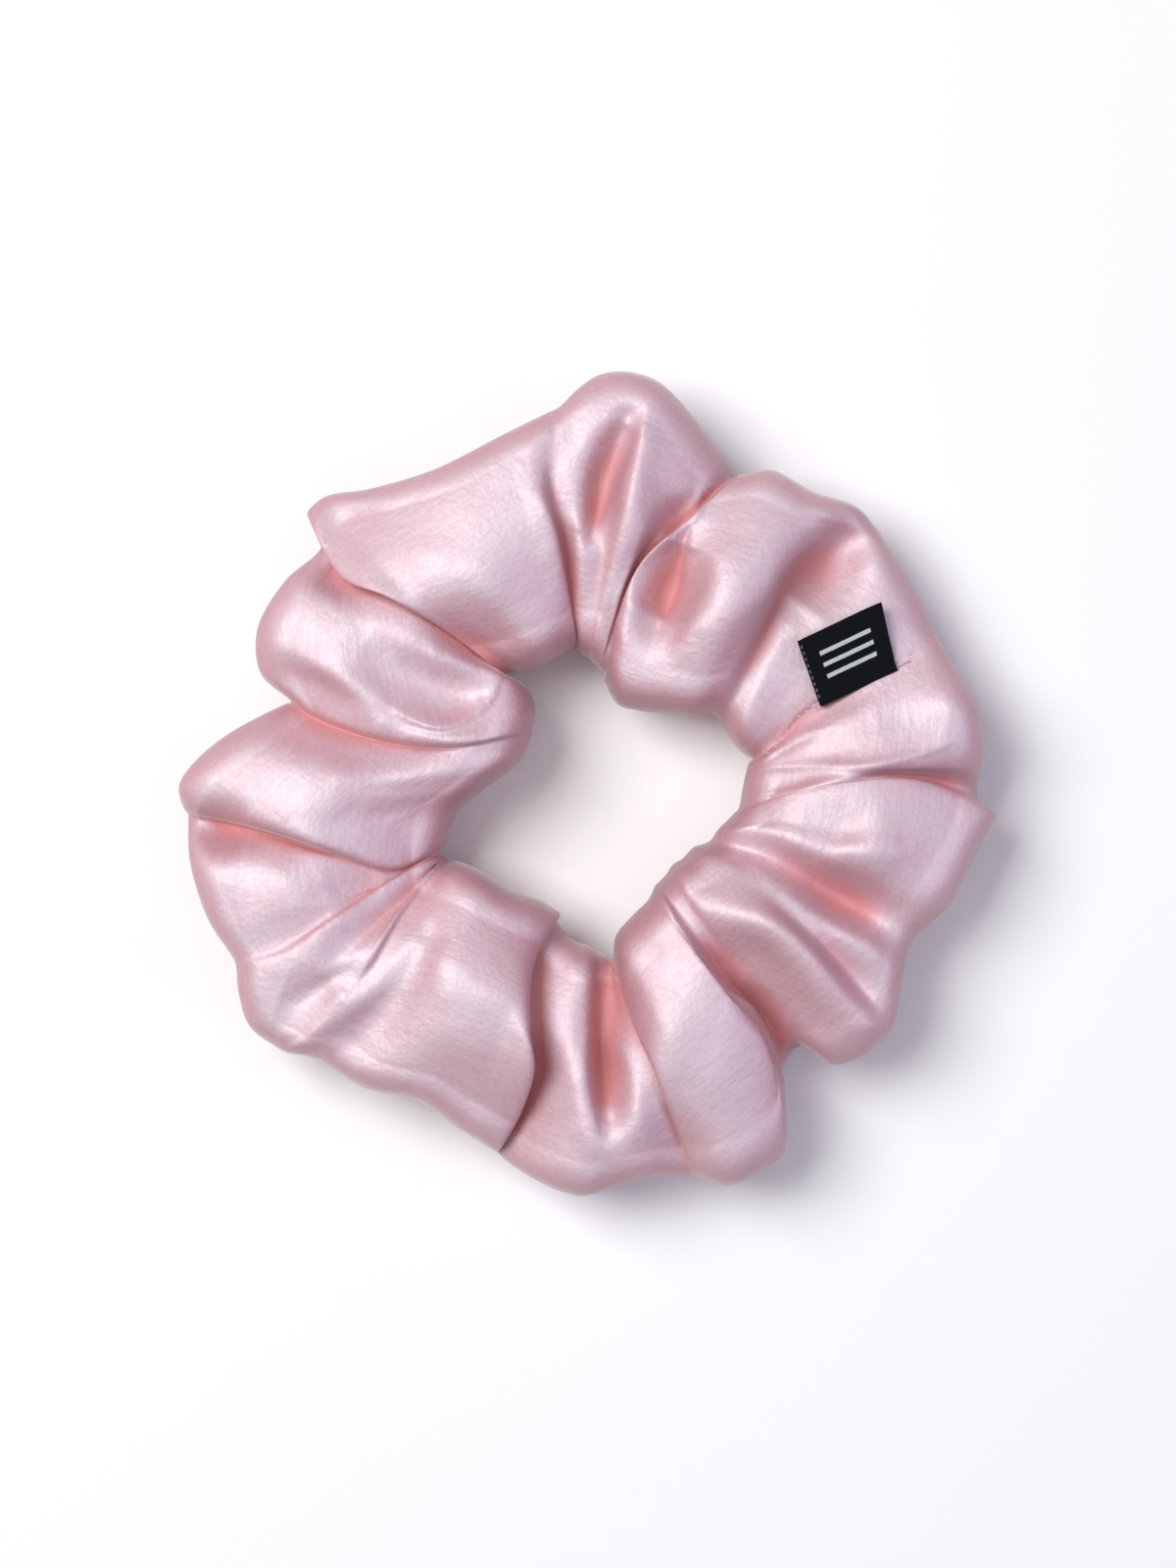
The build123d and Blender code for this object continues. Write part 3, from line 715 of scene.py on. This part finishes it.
node(tree, "ShaderNodeOutputMaterial", {}, shader)
cover_mesh.materials.append(satin)

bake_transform(cover)
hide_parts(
    "cover_left",
    "cover_top_left",
    "cover_top_right",
    "cover_right",
    "cover_bottom_right",
    "cover_bottom_left",
)

# ---------------------------------------------------------------------------------------------------
# The closing seam: the tube's two ends are joined by hand with small slanted stitches of pink thread.
# One long stitch runs on through the label's hem.
# ---------------------------------------------------------------------------------------------------

hem_middle = (38.2, 14.1, 17.85)
label_turn = 25.3  # degrees
label_tilt = 12  # degrees
label_place = (
    Matrix.Translation([length * mm for length in hem_middle])
    @ Matrix.Rotation(math.radians(label_turn), 4, "Z")
    @ Matrix.Rotation(math.radians(label_tilt), 4, "X")
)
bpy.context.view_layer.update()


def on_cloth(x, y, above):
    """A point a little above the cover's top, or below it."""
    _, hit, _, _ = cover.ray_cast((x * mm, y * mm, 50 * mm), (0, 0, -1))
    return hit + Vector((0, 0, above * mm))


# A small stitch comes up out of the cloth, crosses the seam and goes in again. Its four points are given
# from the seam, along X, along Y and over the cloth.
small_stitch = ((-0.45, 0.2, -0.35), (-0.3, 0.1, 0.06), (0.3, -0.1, 0.06), (0.45, -0.2, -0.35))
stitch_places = 17
hem_stitch = (-7.6, -6.4, -2, 2, 6.4, 7.6)
hem_from, hem_to = 32, 44.5  # the small stitches leave this stretch of the seam to the label

stitch_runs = [[label_place @ Vector((x * mm, 0, 0)) for x in hem_stitch]]
for x, y in spline_through(seam_path, np.linspace(0, 1, stitch_places + 2)[1:-1], False):
    if not hem_from < x < hem_to:
        stitch_runs.append([on_cloth(x + dx, y + dy, above) for dx, dy, above in small_stitch])
closing_stitches = sewn("closing_seam_stitching", stitch_runs, 0.1, pink_thread)
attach(closing_stitches, "right_side")
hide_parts("closing_seam_thread")

# ---------------------------------------------------------------------------------------------------
# The label: a black woven satin ribbon with three plain pale bars, folded in half at its far edge. Both
# ends are caught in the closing seam, and from there it lies back on the cover.
# ---------------------------------------------------------------------------------------------------

label_width = 11.9
label_reach = 9.2
ply = 0.32
ply_middle = 0.21
hem_radius = 0.47
hem_opening = math.asin(ply_middle / hem_radius)
ply_points, fold_points, hem_points = 36, 7, 15

# the ribbon from its side: the upper ply, the fold at the far edge, the lower ply, the hem
ply_start = hem_radius * math.cos(hem_opening)
fold_start = label_reach - ply_middle
ribbon = [(y, ply_middle) for y in np.linspace(ply_start, fold_start, ply_points)]
ribbon += [
    (fold_start + ply_middle * math.sin(a), ply_middle * math.cos(a))
    for a in np.linspace(0, math.pi, fold_points + 2)[1:-1]
]
ribbon += [(y, -z) for y, z in ribbon[ply_points - 1 :: -1]]
ribbon += [
    (hem_radius * math.cos(a), hem_radius * math.sin(a))
    for a in np.linspace(-hem_opening, hem_opening - 2 * math.pi, hem_points + 2)[1:-1]
]
ribbon.append(ribbon[0])


def lie(x, y, z):
    """Where a point of the flat label is, once the label leans, waves and curls as it lies."""
    far = max(y, 0) / label_reach
    side = x / label_width * 2
    lean = far * (1.3 + 0.5 * side) - 0.45
    wave = 0.10 * math.sin(0.55 * x + 0.3 * y) * far
    curl = 0.45 * far**2 * max(side, 0) ** 3 + 0.25 * far**2 * max(-side, 0) ** 4
    return label_place @ (Vector((x + lean, y, z + wave + curl)) * mm)


shape = bmesh.new()
bmesh.ops.create_grid(shape, x_segments=48, y_segments=len(ribbon) - 1, size=0.5)
along_label = shape.verts.layers.float.new("along_label")
across_label = shape.verts.layers.float.new("across_label")
for vert in shape.verts:
    number = round((vert.co.y + 0.5) * (len(ribbon) - 1))
    y, z = ribbon[number]
    x = vert.co.x * label_width
    vert[along_label] = y if z > 0 and number < ply_points + fold_points else -1 - y
    vert[across_label] = x
    vert.co = lie(x, y, z)
bmesh.ops.remove_doubles(shape, verts=shape.verts, dist=1e-6)
bmesh.ops.recalc_face_normals(shape, faces=shape.faces)
ribbon_label = in_scene("ribbon_label", meshed("ribbon_label", shape))
thick = ribbon_label.modifiers.new("ply", "SOLIDIFY")
thick.thickness, thick.offset = ply * mm, 0
selvedge = ribbon_label.modifiers.new("selvedge", "BEVEL")
selvedge.width, selvedge.segments, selvedge.limit_method = 0.07 * mm, 2, "ANGLE"

weft_pitch = 0.2
warp_pitch = 0.13
bars_middle = 4.7  # from the hem
bars_half_reach = 2.1  # from the middle of the three to just past the outer two
bar_pitch = 1.7
bar_half_width = 0.3
bar_half_length = 3.7
weave, tree = material("woven_satin")
along = node(tree, "ShaderNodeAttribute", {"attribute_name": "along_label"}, output=2)
across = node(tree, "ShaderNodeAttribute", {"attribute_name": "across_label"}, output=2)
place_here = node(tree, "ShaderNodeTexCoord", {}, output=3)
fray = node(tree, "ShaderNodeTexNoise", {}, Vector=place_here, Scale=6000.0, Detail=2.0)
weft = (along * (2 * math.pi / weft_pitch)).maths("SINE")
warp = (across * (2 * math.pi / warp_pitch)).maths("SINE")
from_bar = (along - bars_middle + 0.12 * (fray - 0.5)).maths("PINGPONG", bar_pitch / 2)
bar = (
    from_bar.maths("LESS_THAN", bar_half_width)
    * (along - bars_middle).maths("ABSOLUTE").maths("LESS_THAN", bars_half_reach)
    * (across + 0.16 * (fray - 0.5)).maths("ABSOLUTE").maths("LESS_THAN", bar_half_length)
)
ground = node(
    tree,
    "ShaderNodeMix",
    {"data_type": "RGBA"},
    Factor=0.5 + 0.5 * weft * fray,
    A=(0.001, 0.001, 0.002, 1),
    B=(0.006, 0.007, 0.010, 1),
    output=2,
)
pale = node(
    tree,
    "ShaderNodeMix",
    {"data_type": "RGBA"},
    Factor=0.5 + 0.35 * warp + 0.15 * weft,
    A=(0.34, 0.37, 0.39, 1),
    B=(0.72, 0.76, 0.79, 1),
    output=2,
)
shader = node(
    tree,
    "ShaderNodeBsdfPrincipled",
    {},
    Base_Color=node(
        tree, "ShaderNodeMix", {"data_type": "RGBA"}, Factor=bar, A=ground, B=pale, output=2
    ),
    Roughness=0.5 + 0.15 * bar + 0.1 * fray,
    Specular_IOR_Level=0.08,
    Normal=node(
        tree,
        "ShaderNodeBump",
        {},
        Strength=0.35,
        Distance=0.00006,
        Height=weft + 0.5 * warp + 1.2 * bar + fray,
    ),
)
node(tree, "ShaderNodeOutputMaterial", {}, shader)
ribbon_label.data.materials.append(weave)
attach(ribbon_label, "label")
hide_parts("woven_label")

# The stitches down the label's left edge: a grey thread comes up out of the upper ply, runs a short way
# over it and goes in again. Each of a stitch's points is across the label, along it, and over its middle.
edge_stitch = ((-5.72, -0.26, 0.2), (-5.70, -0.22, 0.44), (-5.68, 0.18, 0.44), (-5.68, 0.22, 0.2))
first_stitch = 0.95
stitch_pitch = 0.93
edge_runs = []
for number in range(9):
    y = first_stitch + stitch_pitch * number
    edge_runs.append([lie(x, y + along_edge, z) for x, along_edge, z in edge_stitch])
grey_thread = spun_thread("grey_thread", (0.05, 0.05, 0.055, 1), (0.30, 0.30, 0.32, 1))
edge_stitches = sewn("label_edge_stitching", edge_runs, 0.09, grey_thread)
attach(edge_stitches, "label")
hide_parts("label_stitches")

# ---------------------------------------------------------------------------------------------------
# The stage: a plain pale paper floor that the ring lies on, a soft light from the upper left with a wide
# one overhead and a faint cool one at the right, and a camera straight above.
# ---------------------------------------------------------------------------------------------------

shape = bmesh.new()
bmesh.ops.create_grid(shape, x_segments=1, y_segments=1, size=3.0)
floor = in_scene("floor", meshed("floor", shape))
paper, tree = material("paper_floor")
shader = node(tree, "ShaderNodeBsdfDiffuse", {}, Color=(0.94, 0.94, 0.94, 1))
node(tree, "ShaderNodeOutputMaterial", {}, shader)
floor.data.materials.append(paper)


def soft_light(name, place, size, power, colour=(1, 1, 1)):
    """A square area light that looks at the ring."""
    data = bpy.data.lights.new(name, "AREA")
    data.size, data.energy, data.color = size, power, colour
    facing_ring = Vector(place).to_track_quat("Z", "Y").to_matrix().to_4x4()
    in_scene(name, data).matrix_world = Matrix.Translation(place) @ facing_ring


soft_light("key", (-0.50, 0.26, 0.84), 0.55, 9.0)
soft_light("overhead", (0.0, 0.0, 1.2), 1.5, 4.6)
soft_light("right_fill", (0.85, -0.2, 0.50), 0.6, 2.8, (0.68, 0.66, 1.0))

world = bpy.data.worlds.new("studio")
world.use_nodes = True
world.node_tree.nodes["Background"].inputs["Color"].default_value = (1, 1, 1, 1)
world.node_tree.nodes["Background"].inputs["Strength"].default_value = 0.10
bpy.context.scene.world = world

picture_height = 0.222
aim_height = 0.013
camera_data = bpy.data.cameras.new("camera")
camera_data.lens = 85
camera_data.sensor_fit = "VERTICAL"
camera_data.sensor_height = 36
camera = in_scene("camera", camera_data)
camera.location = (0, 0, aim_height + picture_height * camera_data.lens / camera_data.sensor_height)
bpy.context.scene.camera = camera
bpy.context.scene.view_settings.view_transform = "Standard"
